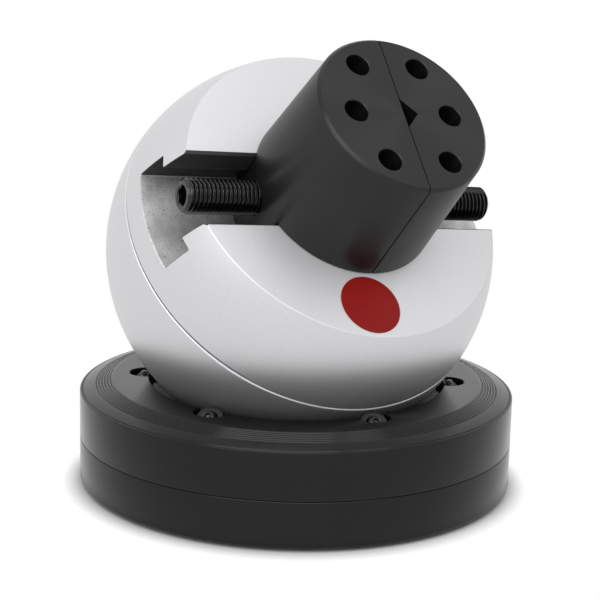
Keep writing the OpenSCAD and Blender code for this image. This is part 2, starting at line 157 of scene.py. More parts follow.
floor_mesh = bpy.data.meshes.new("table_top")
half = floor_size / 2
floor_mesh.from_pydata(
    [(-half, -half, 0), (half, -half, 0), (half, half, 0), (-half, half, 0)], [], [(0, 1, 2, 3)]
)
floor_mesh.materials.append(table_top)
floor = new_object("table_top", floor_mesh)

# The room is white all round. It looks plain white, and lights the vise at less than half
# of that.
world = bpy.data.worlds.new("white_room")
world.use_nodes = True
bpy.context.scene.world = world
tree = world.node_tree
tree.nodes.clear()
level = add(
    tree, "Mix", {"Factor": plain_rays(tree), "A": world_level, "B": 1.0}, "Result",
    data_type="FLOAT",
)
sky = add(tree, "Background", {"Color": (1.0, 1.0, 1.0, 1.0), "Strength": level}, 0)
add(tree, "OutputWorld", {"Surface": sky})

for name, spot, width, height, watts in boxes:
    lamp = bpy.data.lights.new("soft_box_" + name, "AREA")
    lamp.shape = "RECTANGLE"
    lamp.size = width
    lamp.size_y = height
    lamp.energy = watts
    holder = new_object("soft_box_" + name, lamp)
    holder.location = spot
    holder.rotation_mode = "QUATERNION"
    holder.rotation_quaternion = (Vector(spot) - box_aim).to_track_quat("Z", "Y")

bpy.context.scene.view_settings.view_transform = "Standard"

# ---------------------------------------------------------------- lower base ring
# The weight that keeps the vise from tipping: a solid disc of steel, turned, then blackened
# and oiled. Its lower edge is bevelled, and four deep counterbores take the screws that
# hold the upper ring. Sizes from here on are in millimetres.
MM = 0.001
SHARP_DEG = 28
base_low, base_high = (1000 * np.array(corner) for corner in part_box("lower_base_ring"))
base_r = base_high[0]
joint_round = 0.45
base_edge = 1.2
pad_hole_r = 4.05
pad_hole_floor = 5.2
pad_seat_r = 14.3
pad_seat_floor = 11.5
foot_groove = (62.5, 70.5, 3.0)
screw_circle_r = 50.0
screw_turn_deg = 45.0
screw_count = 4
counterbore_r = 5.3
counterbore_top = 8.4
counterbore_flare = 1.4
screw_way_r = 3.3

joint = {j["name"]: j for j in frame["joints"]}
ball_centre = 1000 * np.array(joint["ball_lean"]["pos_m"])
bowl_r = 68.2


def rounded(corners, closed=False, steps=4):
    """A profile with round corners. Each corner is across, up and radius. The arc leaves the
    corner's sides at radius / tan(half its angle) from it, and its points turn evenly from
    one end's radius to the other's."""
    data = np.array(corners, float)
    spot, radius = data[:, :2], data[:, 2]
    back = np.roll(spot, 1, axis=0) - spot
    ahead = np.roll(spot, -1, axis=0) - spot
    back /= np.linalg.norm(back, axis=1, keepdims=True)
    ahead /= np.linalg.norm(ahead, axis=1, keepdims=True)
    if not closed:
        radius[[0, -1]] = 0
    half_angle = np.arccos(np.clip((back * ahead).sum(axis=1), -1, 1)) / 2
    tangent = (radius / np.tan(half_angle))[:, None]
    middle = back + ahead
    middle /= np.maximum(np.linalg.norm(middle, axis=1, keepdims=True), 1e-9)
    centre = spot + middle * (radius / np.sin(half_angle))[:, None]
    start = spot + back * tangent - centre
    end = spot + ahead * tangent - centre
    turn = np.maximum(math.pi - 2 * half_angle, 1e-6)[:, None]
    part = np.linspace(0, 1, steps + 1)[None, :]
    first = (np.sin((1 - part) * turn) / np.sin(turn))[..., None]
    second = (np.sin(part * turn) / np.sin(turn))[..., None]
    points = (centre[:, None] + first * start[:, None] + second * end[:, None]).reshape(-1, 2)
    apart = np.linalg.norm(points - np.roll(points, 1, axis=0), axis=1) > 1e-5
    apart[0] = True
    return points[apart]


def bowl_arc(low, high, steps=40):
    """Points of the bowl, a sphere about the ball's centre, between two heights."""
    height = np.linspace(low, high, steps)
    radius = np.sqrt(bowl_r**2 - (ball_centre[2] - height) ** 2)
    return np.stack([radius, height, 0 * height], axis=1).tolist()


def revolve(profile, steps=256):
    """Carry each profile point, radius and height, round a circle about the local Z axis."""
    turn = np.linspace(0, 2 * math.pi, steps, endpoint=False)[None, :]
    across, up = profile[:, 0, None], profile[:, 1, None]
    return np.stack([across * np.cos(turn), across * np.sin(turn), up + 0 * turn], axis=-1)


def skin(name, grids, ring=False, lids=False):
    """One mesh from grids of points in millimetres. Each point is joined to the next in its
    row, which closes on itself, and to the next row; with ring, the last row to the first.
    With lids, the first and the last row are each closed by one flat face."""
    points, faces, flat, start = [], [], [], 0
    for grid in grids:
        rows, columns = grid.shape[:2]
        row = np.arange(rows if ring else rows - 1)[:, None]
        column = np.arange(columns)[None, :]
        column_on = (column + 1) % columns
        here, on = row * columns, (row + 1) % rows * columns
        corners = [here + column, here + column_on, on + column_on, on + column]
        corners = np.stack(corners, axis=-1)
        faces.append(start + corners.reshape(-1, 4))
        points.append(grid.reshape(-1, 3))
        if lids:
            flat += (start + column + np.array([[0], [(rows - 1) * columns]])).tolist()
        start += rows * columns
    mesh = bpy.data.meshes.new(name)
    mesh.from_pydata(np.concatenate(points) * MM, [], np.concatenate(faces).tolist() + flat)
    close_up(mesh)
    return new_object(name, mesh)


def close_up(mesh):
    """Merge points that coincide, turn the faces outwards, and shade smooth between edges."""
    shape = bmesh.new()
    shape.from_mesh(mesh)
    bmesh.ops.remove_doubles(shape, verts=shape.verts, dist=2e-6)
    bmesh.ops.dissolve_degenerate(shape, edges=shape.edges, dist=1e-6)
    bmesh.ops.recalc_face_normals(shape, faces=shape.faces)
    shape.to_mesh(mesh)
    shape.free()
    mesh.shade_smooth()
    mesh.set_sharp_from_angle(angle=math.radians(SHARP_DEG))


def carve(piece, tools, material, operation="DIFFERENCE", inside=None):
    """Cut each tool out of a piece, or join it on, and throw the tool away. The piece takes
    its material first, and the cut faces take the inside material if there is one."""
    if not piece.data.materials:
        piece.data.materials.append(material)
    for tool in tools:
        if not tool.data.materials:
            tool.data.materials.append(inside or material)
        step = piece.modifiers.new("carve", "BOOLEAN")
        step.operation = operation
        step.solver = "EXACT"
        step.material_mode = "TRANSFER"
        step.object = tool
    bpy.context.view_layer.update()
    seen = piece.evaluated_get(bpy.context.evaluated_depsgraph_get())
    mesh = bpy.data.meshes.new_from_object(seen)
    piece.modifiers.clear()
    piece.data = mesh
    close_up(mesh)
    for tool in tools:
        bpy.data.objects.remove(tool)
    return piece


def finish_piece(piece, body, slot, material, *nodes):
    """Dress a piece, and let it ride on its body in place of the solids it stands for."""
    if not piece.data.materials:
        piece.data.materials.append(material)
    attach(piece, body)
    if nodes:
        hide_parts(*nodes)
    return piece


def disc(radius, low, high, steps=64):
    """A plain closed cylinder about the local Z axis."""
    return revolve(np.array([(0, low), (radius, low), (radius, high), (0, high)], float), steps)


def lathe_rings(tree, place):
    """Coordinates for turned lines: each point's reach from the Z axis, and its height."""
    parts = add(tree, "SeparateXYZ", {0: place}).outputs
    across = add(tree, "CombineXYZ", {0: parts["X"], 1: parts["Y"]}, 0)
    reach = add(tree, "VectorMath", {0: across}, "Value", operation="LENGTH")
    return add(tree, "CombineXYZ", {0: reach, 2: parts["Z"]}, 0)


def round_grain(tree, axis, place):
    """The direction in which a lathe's lines run: the axis crossed with each point's place
    from it, turned to the world's frame, with a length of one."""
    grain = add(tree, "VectorMath", {0: axis, 1: place}, "Vector", operation="CROSS_PRODUCT")
    grain = add(
        tree, "VectorTransform", {"Vector": grain}, "Vector",
        vector_type="VECTOR", convert_from="OBJECT", convert_to="WORLD",
    )
    return add(tree, "VectorMath", {0: grain}, "Vector", operation="NORMALIZE")


# Black oxide on turned steel: a dark, oiled skin with a soft sheen. The lathe's feed lines
# are finer than the picture shows, so they are drawn 0.35 mm apart.
blackened, tree, place = new_material("blackened_turned_steel")
lines = add(
    tree, "TexNoise",
    {"Vector": lathe_rings(tree, place), "Scale": 2800.0, "Detail": 2.0, "Roughness": 0.6},
    "Fac",
)
haze = add(
    tree, "TexNoise", {"Vector": place, "Scale": 60.0, "Detail": 4.0, "Roughness": 0.55}, "Fac"
)
sheen = add(tree, "MapRange", {"Value": haze, "To Min": 0.17, "To Max": 0.28}, "Result")
tone = add(
    tree, "Mix", {"Factor": haze, "A": colour("#080809"), "B": colour("#0e0e0f")}, "Result",
    data_type="RGBA",
)
bump = add(tree, "Bump", {"Height": lines, "Strength": 0.25, "Distance": 0.00004}, "Normal")
shade(blackened, "BsdfPrincipled", {
    "Base Color": tone,
    "Roughness": sheen,
    "IOR": 1.34,
    "Anisotropic": 0.7,
    "Anisotropic Rotation": 0.25,
    "Tangent": round_grain(tree, (0.0, 0.0, 1.0), place),
    "Normal": bump,
})

profile = [
    (0, pad_hole_floor, 0),
    (pad_hole_r, pad_hole_floor, 0),
    (pad_hole_r, pad_seat_floor, 0.3),
    (pad_seat_r, pad_seat_floor, 0.2),
]
bowl_start = ball_centre[2] - math.sqrt(bowl_r**2 - pad_seat_r**2)
profile += bowl_arc(bowl_start, base_high[2], 12)
profile += [
    (base_r, base_high[2], joint_round),
    (base_r, base_low[2], base_edge),
    (foot_groove[1], base_low[2], 0.3),
    (foot_groove[1], foot_groove[2], 0.3),
    (foot_groove[0], foot_groove[2], 0.3),
    (foot_groove[0], base_low[2], 0.3),
    (0, base_low[2], 0),
]
lower_ring = skin("lower_base_ring_turned", [revolve(rounded(profile), 320)])


def round_screws(grid):
    """Repeat a shape at each base screw's place."""
    turn = np.radians(screw_turn_deg + np.arange(screw_count) * 360 / screw_count)
    shift = np.stack([np.cos(turn), np.sin(turn), 0 * turn], axis=1) * screw_circle_r
    return [grid + offset for offset in shift]


way = np.array([
    (0, base_low[2] - 2), (counterbore_r + counterbore_flare, base_low[2] - 1),
    (counterbore_r, base_low[2] + 0.4),
    (counterbore_r, counterbore_top), (screw_way_r, counterbore_top),
    (screw_way_r, base_high[2] + 2), (0, base_high[2] + 2),
])
ways = [skin("screw_way", [grid]) for grid in round_screws(revolve(way, 48))]
carve(lower_ring, ways, blackened)
finish_piece(lower_ring, "base", "base_black", blackened, "lower_base_ring")

# ---------------------------------------------------------------- upper base ring
# The bowl's ring, turned from the same steel. Its top slopes down from a flat ring to the
# rim, with six fine grooves at the start of the slope and one before the rim. Six pockets
# are milled straight down into the bowl's edge, each with a seat square to its bearing.
top_low, top_high = (1000 * np.array(corner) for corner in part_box("upper_base_ring"))
rim_height = 33.0
rim_round = 0.35
rim_line_r = 74.1
slope_start_r = 63.8
groove_count = 6
groove_start = 0.8
groove_pitch = 0.95
groove_width = 0.6
groove_depth = 0.45
pocket_r = 5.7
pocket_lip = 0.3
bearing_width = 4.0
seat_washer = 0.5
bearing_count = 6


def slope_height(radius):
    """The sloping top's height at a radius: it falls evenly from the flat ring to the rim."""
    fall = (top_high[2] - rim_height) / (base_r - slope_start_r)
    return rim_height + (base_r - radius) * fall


def groove(middle):
    """A turned V groove in the sloping top, with its middle at a radius."""
    inner, outer = middle - groove_width / 2, middle + groove_width / 2
    return [
        (inner, slope_height(inner), 0.06),
        (middle, slope_height(middle) - groove_depth, 0.08),
        (outer, slope_height(outer), 0.06),
    ]


profile = bowl_arc(top_low[2], top_high[2], 48)[:-1]
bowl_edge_r = math.sqrt(bowl_r**2 - (ball_centre[2] - top_high[2]) ** 2)
profile += [(bowl_edge_r, top_high[2], 0.4), (slope_start_r, top_high[2], 0.5)]
for number in range(groove_count):
    profile += groove(slope_start_r + groove_start + number * groove_pitch)
profile += groove(rim_line_r)
profile += [
    (base_r, rim_height, rim_round),
    (base_r, top_low[2], joint_round),
]
grid = revolve(rounded(profile, closed=True), 320)
upper_ring = skin("upper_base_ring_turned", [grid], ring=True)

tools = []
for number in range(1, bearing_count + 1):
    race = joint[f"race_turn_{number}"]
    spot, axis = 1000 * np.array(race["pos_m"]), np.array(race["axis"])
    seat = spot - axis * (bearing_width / 2 + seat_washer)
    turn = np.linspace(0, 2 * math.pi, 64, endpoint=False)
    wall = np.array([0, pocket_r, pocket_r, pocket_r + pocket_lip + 2, 0])[:, None]
    across = wall * np.cos(turn) + spot[0]
    along = wall * np.sin(turn) + spot[1]
    floor_height = seat[2] - ((across - seat[0]) * axis[0] + (along - seat[1]) * axis[1]) / axis[2]
    up = np.stack([
        floor_height[0], floor_height[1], 0 * turn + top_high[2] - pocket_lip,
        0 * turn + top_high[2] + 2, 0 * turn + top_high[2] + 2,
    ])
    tools.append(skin("pocket", [np.stack([across, along, up], axis=-1)]))
carve(upper_ring, tools, blackened)
finish_piece(upper_ring, "base", "base_black", blackened, "upper_base_ring")

# ---------------------------------------------------------------- foot ring
# A moulded rubber ring, pressed into the groove under the base. Only its lip shows, as the
# dark gap between the base and the table.
foot_low, foot_high = (1000 * np.array(corner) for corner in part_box("foot_ring"))
foot_clear = 0.05
foot_inner_r = foot_groove[0] + foot_clear
foot_outer_r = foot_groove[1] - foot_clear

# Natural rubber: a dull, dry black with a fine moulded grain.
rubber, tree, place = new_material("moulded_black_rubber")
grain = add(tree, "TexNoise", {"Vector": place, "Scale": 1600.0, "Detail": 3.0}, "Fac")
bump = add(tree, "Bump", {"Height": grain, "Strength": 0.4, "Distance": 0.0001}, "Normal")
shade(rubber, "BsdfPrincipled", {
    "Base Color": colour("#141414"),
    "Roughness": 0.78,
    "IOR": 1.5,
    "Normal": bump,
})
profile = [
    (foot_inner_r, foot_low[2], 0.5),
    (foot_outer_r, foot_low[2], 0.5),
    (foot_outer_r, foot_high[2], 0.4),
    (foot_inner_r, foot_high[2], 0.4),
]
foot = skin("foot_ring_moulded", [revolve(rounded(profile, closed=True), 256)], ring=True)
finish_piece(foot, "base", "foot_rubber", rubber, "foot_ring")

# ---------------------------------------------------------------- base screws
# Four socket-head screws join the two rings from below. They are cold-headed from alloy
# steel, with a chamfered hexagon socket and a rolled thread, and blackened.
base_head_r = 5.0
base_head_low = 2.4
base_head_high = 8.4
base_thread_r = 3.0
base_thread_top = 26.0
base_shank = 8.2
base_hex = 5.0
base_hex_depth = 3.0
thread_share = 0.61
mouth_past = 0.12


def mouth_r(flats):
    """Radius of a socket's round mouth, a little past the hexagon's corners."""
    return flats / 2 / math.cos(math.pi / 6) + mouth_past


def hexagon(flats, turn):
    """Distance from a hexagon's centre to its side, in the direction of each angle."""
    sixth = math.pi / 3
    return flats / 2 / np.cos((turn + sixth / 2) % sixth - sixth / 2)


def socket_rows(flats, depth, mouth_up, turn):
    """Rows of a hexagon socket from its drilled bottom to its round mouth. Each row is the
    larger of the hexagon and a cone that widens to the mouth."""
    down = np.array([depth, depth, 0.5, 0.4, 0.3, 0.2, 0.1, 0.0])[:, None]
    cone = mouth_r(flats) - down * 1.2
    radius = np.maximum(hexagon(flats, turn)[None, :], cone)
    radius = np.concatenate([np.zeros((1, len(turn))), radius])
    up = mouth_up - np.concatenate([[[depth + flats * 0.28]], down]) + 0 * radius
    return np.stack([radius * np.cos(turn), radius * np.sin(turn), up], axis=-1)


def thread_depth(phase):
    """Depth of a rolled thread over one pitch: a flat crest, sloping flanks, a flat root."""
    return np.interp(phase % 1, [0.0, 0.125, 0.44, 0.685, 1.0], [0, 0, 1, 1, 0])


def headed_screw(profile, socket, thread, steps=72):
    """A screw with its socket's mouth up. The profile runs from the socket's mouth over the
    head to the thread's end; thread is its radius, pitch and the heights where it runs."""
    turn = np.linspace(0, 2 * math.pi, steps, endpoint=False)
    flats, depth = socket
    head = socket_rows(flats, depth, profile[0][1], turn)
    body = revolve(rounded(profile), steps)
    radius, pitch, top, bottom = thread
    rows = np.linspace(top, bottom, int((top - bottom) / pitch * 8))
    cut = thread_share * pitch * thread_depth((rows[:, None] / pitch - turn / (2 * math.pi)))
    fade = np.clip(np.minimum(top - rows, rows - bottom) / (0.5 * pitch), 0, 1)[:, None]
    across = radius - cut * fade
    height = rows[:, None] + 0 * cut
    helix = np.stack([across * np.cos(turn), across * np.sin(turn), height], axis=-1)
    tip = revolve(np.array([(radius - 0.5, bottom - 0.5), (0, bottom - 0.5)]), steps)
    return np.concatenate([head, body, helix, tip])


def mottled_metal(name, scale, detail, sheen, relief, codes, **settings):
    """A metal whose roughness and bump follow one noise. Sheen is the least and the most
    roughness, and relief is the bump's strength and height in metres. Codes are one colour,
    or two that the noise mixes, and the settings are the shader's own."""
    material, tree, place = new_material(name)
    noise = add(tree, "TexNoise", {"Vector": place, "Scale": scale, "Detail": detail}, "Fac")
    least, most = sheen
    spread = add(tree, "MapRange", {"Value": noise, "To Min": least, "To Max": most}, "Result")
    tone = colour(codes[0])
    if len(codes) > 1:
        tone = add(
            tree, "Mix", {"Factor": noise, "A": tone, "B": colour(codes[1])}, "Result",
            data_type="RGBA",
        )
    inputs = {"Base Color": tone, "Roughness": spread, **settings}
    if relief:
        strength, high = relief
        bump = add(tree, "Bump", {"Height": noise, "Strength": strength, "Distance": high})
        inputs["Normal"] = bump.outputs["Normal"]
    return shade(material, "BsdfPrincipled", inputs)


# Black oxide on alloy steel, oiled: near black, with tight highlights.
screw_finish = mottled_metal(
    "blackened_alloy_screw", 420.0, 3.0, (0.2, 0.36), (0.2, 0.00005), ["#0e0e0f"], IOR=1.55
)
profile = [
    (mouth_r(base_hex), base_head_high, 0),
    (base_head_r, base_head_high, 0.6),
    (base_head_r, base_head_low, 0.15),
    (base_thread_r, base_head_low, 0.2),
    (base_thread_r, base_head_low - base_shank, 0),
]
thread_end = base_head_low - (base_thread_top - base_head_high) + 0.5
thread = (base_thread_r, 1.0, base_head_low - base_shank, thread_end)
grid = headed_screw(profile, (base_hex, base_hex_depth), thread)
grid[..., 2] = base_head_high + base_head_low - grid[..., 2]
screws = skin("base_screws_socket_head", round_screws(grid))
finish_piece(screws, "base", "fastener_black", screw_finish, "base_screws")

# ---------------------------------------------------------------- centre pad
# A disc of acetal on a spigot, which lets the ball's lowest point swivel in the base. Its
# top is dished to the ball. It is turned from rod, so it shows faint rings.
pad_low, pad_high = (1000 * np.array(corner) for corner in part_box("centre_pad"))
pad_r = pad_high[0]
pad_gap = 0.3
ball_r = 66.0
pad_spigot_r = 4.0
pad_under = pad_seat_floor + 0.1

# Acetal rod as turned: off-white and a little waxy, with rings about 0.5 mm apart.
acetal, tree, place = new_material("turned_acetal")
reach = add(tree, "VectorMath", {0: place}, "Value", operation="LENGTH")
rings = add(tree, "TexNoise", {"W": reach, "Scale": 1800.0}, "Fac", noise_dimensions="1D")
bump = add(tree, "Bump", {"Height": rings, "Strength": 0.3, "Distance": 0.00005}, "Normal")
shade(acetal, "BsdfPrincipled", {
    "Base Color": colour("#ebe6d8"),
    "Roughness": 0.42,
    "IOR": 1.48,
    "Normal": bump,
})
dish_r = ball_r + pad_gap
dish = np.linspace(0, pad_r - 0.3, 16)
profile = [(across, ball_centre[2] - math.sqrt(dish_r**2 - across**2), 0) for across in dish]
profile += [
    (pad_r, ball_centre[2] - math.sqrt(dish_r**2 - pad_r**2), 0.2),
    (pad_r, pad_under, 0.3),
    (pad_spigot_r, pad_under, 0.3),
    (pad_spigot_r, pad_low[2], 0.5),
    (0, pad_low[2], 0),
]
pad = skin("centre_pad_turned", [revolve(rounded(profile), 128)])
finish_piece(pad, "pad", "pad_plastic", acetal, "centre_pad")

# ---------------------------------------------------------------- bearings
# Six miniature ball bearings, 10 mm outside, 3 mm bore and 4 mm wide, carry the ball. Each
# has an outer ring with pressed steel shields, an inner ring on its screw, and a thin washer
# under the inner ring.
race_outer_r = 5.0
race_inner_r = 2.75
shield_r = 4.3
shield_sink = 0.25
inner_ring_r = 2.7
inner_bore_r = 1.5
button_r = 2.75
button_high = 1.65
button_hex = 2.0
button_hex_depth = 1.1
button_thread_end = -10.5


def turn_to(grid, spot, axis):
    """Carry a shape from its own frame, with its axis along Z, to a spot and a direction."""
    upright = np.array([0.0, 0.0, 1.0])
    axis = np.array(axis) / np.linalg.norm(axis)
    side = np.cross(upright, axis)
    side /= np.linalg.norm(side)
    basis = np.stack([side, np.cross(axis, side), axis])
    return grid @ basis + np.array(spot)


def dress_solid(node, material):
    """Give a solid that no piece stands for the metal it is made of."""
    slots = frame["nodes"][node].data.materials
    slots.clear()
    slots.append(material)


# Chrome steel, ground and lapped: bright grey, with faint smears.
bearing_steel = mottled_metal(
    "ground_chrome_steel", 900.0, 2.0, (0.16, 0.3), (0.1, 0.00003), ["#a9abae"], Metallic=1.0
)
# Painted shade: the ground rings are painted near black for the deep shade they sit in under the
# ball, and are smoother than the base.
bearing_ring_shade_black = mottled_metal(
    "bearing_ring_painted_shade_black", 700.0, 3.0, (0.14, 0.28), (0.15, 0.00003), ["#0b0b0c"], IOR=1.5
)
half_w = bearing_width / 2
button_thread_top = -half_w - 1.5
profile = [
    (race_outer_r, -half_w, 0.3),
    (race_outer_r, half_w, 0.3),
    (shield_r, half_w, 0.08),
    (shield_r - 0.1, half_w - shield_sink, 0.05),
    (race_inner_r + 0.35, half_w - shield_sink - 0.05, 0.12),
    (race_inner_r, half_w - shield_sink - 0.35, 0.05),
    (race_inner_r, shield_sink + 0.35 - half_w, 0.05),
    (race_inner_r + 0.35, shield_sink + 0.05 - half_w, 0.12),
    (shield_r - 0.1, shield_sink - half_w, 0.05),
    (shield_r, -half_w, 0.08),
]
race_shape = revolve(rounded(profile, closed=True), 96)
profile = [
    (inner_ring_r, -half_w, 0.15),
    (inner_ring_r, half_w, 0.15),
    (inner_bore_r, half_w, 0.2),
    (inner_bore_r, -half_w, 0.2),
]
inner_shape = revolve(rounded(profile, closed=True), 64)
profile = [
    (mouth_r(button_hex), half_w + button_high, 0),
    (1.9, half_w + button_high - 0.06, 0.3),
    (2.45, half_w + button_high - 0.55, 0.7),
    (button_r, half_w + 0.25, 0.2),
    (button_r, half_w, 0.1),
    (inner_bore_r, half_w, 0),
    (inner_bore_r, button_thread_top, 0),
]
thread = (inner_bore_r, 0.5, button_thread_top, button_thread_end + 0.5)
button_shape = headed_screw(profile, (button_hex, button_hex_depth), thread, steps=48)
inner_rings, buttons = [], []
for number in range(1, bearing_count + 1):
    race = joint[f"race_turn_{number}"]
    spot, axis = 1000 * np.array(race["pos_m"]), race["axis"]
    outer = skin(f"bearing_outer_ring_{number}", [turn_to(race_shape, spot, axis)], ring=True)
    finish_piece(outer, race["child"], "bearing_steel", bearing_ring_shade_black, f"bearing_race_{number}")
    inner_rings.append(turn_to(inner_shape, spot, axis))
    buttons.append(turn_to(button_shape, spot, axis))
# The inner rings take the same painted near-black shade.
inner = skin("bearing_inner_rings_ground", inner_rings, ring=True)
finish_piece(inner, "base", "bearing_steel", bearing_ring_shade_black, "bearing_inner_rings")
heads = skin("bearing_button_screws", buttons)
finish_piece(heads, "base", "fastener_black", screw_finish, "bearing_screws")
dress_solid("bearing_shims", bearing_steel)

# ---------------------------------------------------------------- lower part of the ball
# Solid steel, turned as a ball and then cut at the seam. The finish is a fine, even satin,
# from glass beads and a thin nickel plate. Its top is recessed for the thrust bearing.
head_axis = np.array(joint["head_turn"]["axis"])
screw_axis = np.array(joint["screw_turn"]["axis"])
across_axis = np.cross(head_axis, screw_axis)
head_frame = Matrix(np.stack([screw_axis, across_axis, head_axis]).T.tolist())
head_turned = tuple(head_frame.to_euler())
head_place = tuple((ball_centre * MM).tolist())
flat_height = 35.8
flat_from, flat_full = flat_height - 0.3, flat_height - 0.1
flat_roughness = 0.52
ball_metallic = 0.85
flat_metallic = 0.55
seam_low = 6.6
seam_round = 0.55
seam_spare = 0.02
drill_point = 2.3
recess_r = (17.35, 26.15)
recess_floor = 4.85
bolt_hole_r = 4.0
bolt_hole_floor = -21.7


def on_ball(grid):
    """Carry points from the ball's own frame, screw axis first and jaw axis last."""
    return grid @ np.stack([screw_axis, across_axis, head_axis]) + ball_centre


def ball_arc(low, high, steps):
    """Points of the ball's outside between two heights, bunched towards the poles."""
    turn = np.linspace(math.asin(low / ball_r), math.asin(high / ball_r), steps)
    return np.stack([ball_r * np.cos(turn), ball_r * np.sin(turn), 0 * turn], axis=1).tolist()


def in_ball_frame(tree, place):
    """Object coordinates carried to the ball's own frame, with the jaw axis up."""
    return add(
        tree, "Mapping", {"Vector": place, "Location": head_place, "Rotation": head_turned}, 0,
        vector_type="TEXTURE",
    )


# Bead-blasted steel under nickel: pale, with a fine sparkle and a wide soft highlight. The
# flat is a little duller and whiter.
satin, tree, place = new_material("satin_nickel_steel")
local = in_ball_frame(tree, place)
grit = add(
    tree, "TexNoise", {"Vector": place, "Scale": 2400.0, "Detail": 2.0, "Roughness": 0.7}, "Fac"
)
cloud = add(tree, "TexNoise", {"Vector": place, "Scale": 45.0, "Detail": 5.0}, "Fac")
sheen = add(tree, "MapRange", {"Value": cloud, "To Min": 0.4, "To Max": 0.46}, "Result")
tone = add(
    tree, "Mix", {"Factor": grit, "A": colour("#cacacc"), "B": colour("#e2e2e4")}, "Result",
    data_type="RGBA",
)
height = add(tree, "SeparateXYZ", {0: local}, "Z")
on_flat = add(
    tree, "MapRange", {"Value": height, "From Min": flat_from * MM, "From Max": flat_full * MM},
    "Result",
)
sheen = add(
    tree, "Mix", {"Factor": on_flat, "A": sheen, "B": flat_roughness}, "Result",
    data_type="FLOAT",
)
bare = add(
    tree, "Mix", {"Factor": on_flat, "A": ball_metallic, "B": flat_metallic}, "Result",
    data_type="FLOAT",
)
bump = add(tree, "Bump", {"Height": grit, "Strength": 0.35, "Distance": 0.00006}, "Normal")
shade(satin, "BsdfPrincipled", {
    "Base Color": tone,
    "Metallic": bare,
    "Roughness": sheen,
    "Normal": bump,
})
seam_r = math.sqrt(ball_r**2 - seam_low**2)
profile = ball_arc(-ball_r, seam_low - 0.9, 150)
profile += [
    (seam_r + seam_spare, seam_low, seam_round),
    (recess_r[1], seam_low, 0.2),
    (recess_r[1], recess_floor, 0.2),
    (recess_r[0], recess_floor, 0.2),
    (recess_r[0], seam_low, 0.2),
    (bolt_hole_r, seam_low, 0.4),
    (bolt_hole_r, bolt_hole_floor, 0),
    (0, bolt_hole_floor - drill_point, 0),
]
lower_ball = skin("lower_ball_satin", [on_ball(revolve(rounded(profile), 384))])
finish_piece(lower_ball, "ball", "ball_steel", satin, "lower_ball")

# ---------------------------------------------------------------- upper part of the ball
# The rest of the ball, cut flat, with the T-slot milled right across it. The slot's walls are
# left as the cutter made them: rough and stained, a little darker than the satin outside, and
# its side walls and lips carry painted shade.
seam_high = 7.2
flat_round = 0.45
bolt_way_r = 5.05
bolt_recess_r = 6.8
bolt_recess_floor = 11.0
washer_recess_top = 8.95
slot_half = 13.25
slot_bevel = 0.9
lip_under = 27.0
tee_half = 17.9
slot_floor = 16.2
slot_edge = 0.22
lip_round = 0.55
yoke_screw_y = 9.6
yoke_screw_r = 1.5
yoke_hole_depth = 6.8

# Milled steel with its nickel skin worn thin: light, blotchy and streaked along the cut.
milled, tree, place = new_material("milled_stained_steel_painted_shade")
local = in_ball_frame(tree, place)
along_cut = (0.12, 1.0, 1.0)
drawn_out = add(tree, "VectorMath", {0: local, 1: along_cut}, "Vector", operation="MULTIPLY")
streak = add(tree, "TexNoise", {"Vector": drawn_out, "Scale": 900.0, "Detail": 3.0}, "Fac")
blotch = add(
    tree, "TexNoise", {"Vector": local, "Scale": 130.0, "Detail": 7.0, "Roughness": 0.6}, "Fac"
)
fleck = add(tree, "TexNoise", {"Vector": local, "Scale": 1300.0, "Detail": 4.0}, "Fac")
stain = add(tree, "MapRange", {"Value": blotch, "From Min": 0.34, "From Max": 0.66}, "Result")
speck = add(tree, "MapRange", {"Value": fleck, "From Min": 0.62, "From Max": 0.7}, "Result")
tone = add(
    tree, "Mix", {"Factor": stain, "A": colour("#b4b4b4"), "B": colour("#d4d4d5")}, "Result",
    data_type="RGBA",
)
tone = add(
    tree, "Mix", {"Factor": speck, "A": tone, "B": colour("#5a5957")}, "Result",
    data_type="RGBA",
)
# Painted shade: the slot's side walls and lips are painted darker than its floor, for the shade
# inside the slot.
parts = add(tree, "SeparateXYZ", {0: local}).outputs
across = add(tree, "Math", {0: parts["Y"]}, "Value", operation="ABSOLUTE")
on_side = add(
    tree, "Math", {0: across, 1: (slot_half - 0.1) * MM}, "Value", operation="GREATER_THAN"
)
off_floor = add(
    tree, "Math", {0: parts["Z"], 1: (slot_floor + 0.3) * MM}, "Value", operation="GREATER_THAN"
)
painted_wall_shade = add(tree, "Math", {0: on_side, 1: off_floor}, "Value", operation="MULTIPLY")
tone = add(
    tree, "Mix", {"Factor": painted_wall_shade, "A": tone, "B": colour("#4a4948")}, "Result",
    data_type="RGBA",
)
height = add(tree, "Math", {0: streak, 1: fleck}, "Value", operation="ADD")
bump = add(tree, "Bump", {"Height": height, "Strength": 0.4, "Distance": 0.0001}, "Normal")
shade(milled, "BsdfPrincipled", {
    "Base Color": tone,
    "Metallic": 0.6,
    "Roughness": 0.45,
    "Normal": bump,
})

flat_r = math.sqrt(ball_r**2 - flat_height**2)
profile = ball_arc(seam_high + 0.9, flat_height - 0.7, 90)
profile += [
    (flat_r + seam_spare, flat_height, flat_round),
    (bolt_recess_r, flat_height, 0),
    (bolt_recess_r, bolt_recess_floor, 0),
    (bolt_way_r, bolt_recess_floor, 0.2),
    (bolt_way_r, seam_high, 0.3),
    (recess_r[0], seam_high, 0.2),
    (recess_r[0], washer_recess_top, 0.2),
    (recess_r[1], washer_recess_top, 0.2),
    (recess_r[1], seam_high, 0.2),
    (seam_r + seam_spare, seam_high, seam_round),
]
grid = revolve(rounded(profile, closed=True), 384)
upper_ball = skin("upper_ball_satin", [on_ball(grid)], ring=True)


